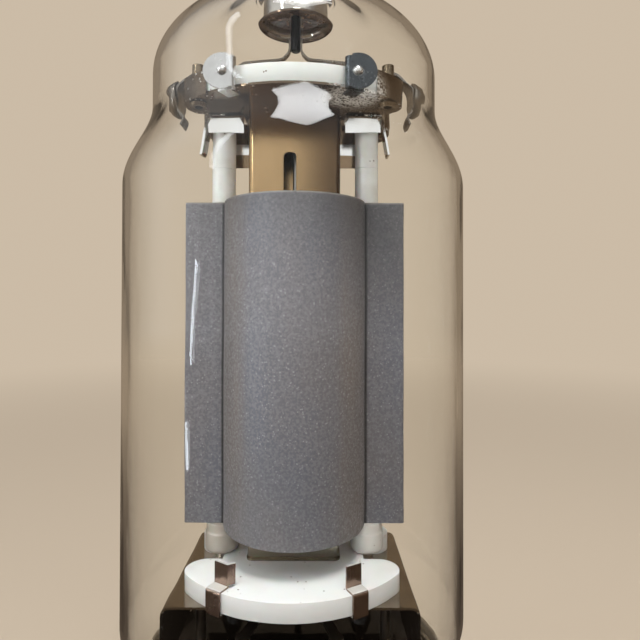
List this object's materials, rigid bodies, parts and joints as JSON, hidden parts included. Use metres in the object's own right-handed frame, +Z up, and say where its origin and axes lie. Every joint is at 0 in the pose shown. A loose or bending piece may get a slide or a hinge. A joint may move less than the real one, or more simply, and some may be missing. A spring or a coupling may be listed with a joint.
{
  "type": "beam power tetrode",
  "caption": "Upright transmitting tube: shouldered clear glass bulb round a winged graphite anode between ceramic plates, metal shell base on pins, metal top cap.",
  "frame": {"origin": "middle of the circle of pin tips, at the level of the tips", "axes": "+Z up the tube's axis to the top cap; the anode's wings lie along X; its front face and the bayonet pin look along -Y"},
  "size_m": [0.0632, 0.0632, 0.19],
  "materials": {
    "bulb_glass": "clear blown glass",
    "stem_glass": "clear pressed glass, a little darker",
    "bead_glass": "brown glass with small bubbles",
    "eyelet_metal": "polished sealing alloy",
    "black_lead": "rod under a black glass skin",
    "cap_metal": "nickel plated",
    "shell_metal": "nickel plated sheet, worn",
    "wafer_ceramic": "glazed porcelain",
    "cement": "basing cement",
    "pin_metal": "nickel plated brass, soldered tips",
    "lead_wire": "oxidised nickel wire",
    "shield_nickel": "polished nickel sheet, warm tint",
    "clip_nickel": "polished nickel strip",
    "alumina": "white fired alumina",
    "graphite": "machined graphite, matte with a fine sparkle",
    "rod_steel": "bright rod",
    "box_nickel": "satin nickel sheet, warm tint",
    "grid_wire": "molybdenum wire",
    "tungsten": "thoriated tungsten wire"
  },
  "bodies": {
    "root": {"glass_envelope": "bulb_glass", "dish_stem": "stem_glass", "seal_eyelet": "eyelet_metal", "seal_bead": "bead_glass", "anode_lead_rod": "black_lead", "top_cap": "cap_metal", "base_shell": "shell_metal", "bayonet_pin": "shell_metal", "base_wafer": "wafer_ceramic", "base_cement": "cement", "base_pin_1": "pin_metal", "base_pin_2": "pin_metal", "base_pin_3": "pin_metal", "base_pin_4": "pin_metal", "base_pin_5": "pin_metal", "base_pin_6": "pin_metal", "base_pin_7": "pin_metal", "stem_lead_1": "lead_wire", "stem_lead_2": "lead_wire", "stem_lead_3": "lead_wire", "stem_lead_4": "lead_wire", "stem_lead_5": "lead_wire", "stem_lead_6": "lead_wire", "stem_lead_7": "lead_wire", "filament_links": "lead_wire", "grid_links": "lead_wire", "lower_shield": "shield_nickel", "lower_ceramic": "alumina", "lower_clip_1": "clip_nickel", "lower_clip_2": "clip_nickel", "lower_clip_3": "clip_nickel", "lower_clip_4": "clip_nickel", "collar_left": "alumina", "collar_right": "alumina", "anode": "graphite", "support_rod_left": "rod_steel", "support_rod_right": "rod_steel", "short_sleeve_left": "alumina", "short_sleeve_right": "alumina", "long_sleeve_left": "alumina", "long_sleeve_right": "alumina", "saddle_left": "shield_nickel", "saddle_right": "shield_nickel", "upper_shield": "shield_nickel", "upper_ceramic": "alumina", "upper_clip_1": "clip_nickel", "upper_clip_2": "clip_nickel", "upper_clip_3": "clip_nickel", "upper_clip_4": "clip_nickel", "upper_eyelets": "clip_nickel", "snubber_left": "clip_nickel", "snubber_right": "clip_nickel", "anode_strap": "clip_nickel", "beam_box": "box_nickel", "screen_grid": "grid_wire", "control_grid": "grid_wire", "filament": "tungsten", "filament_hanger": "rod_steel", "filament_spring": "rod_steel"}
  },
  "joints": []
}
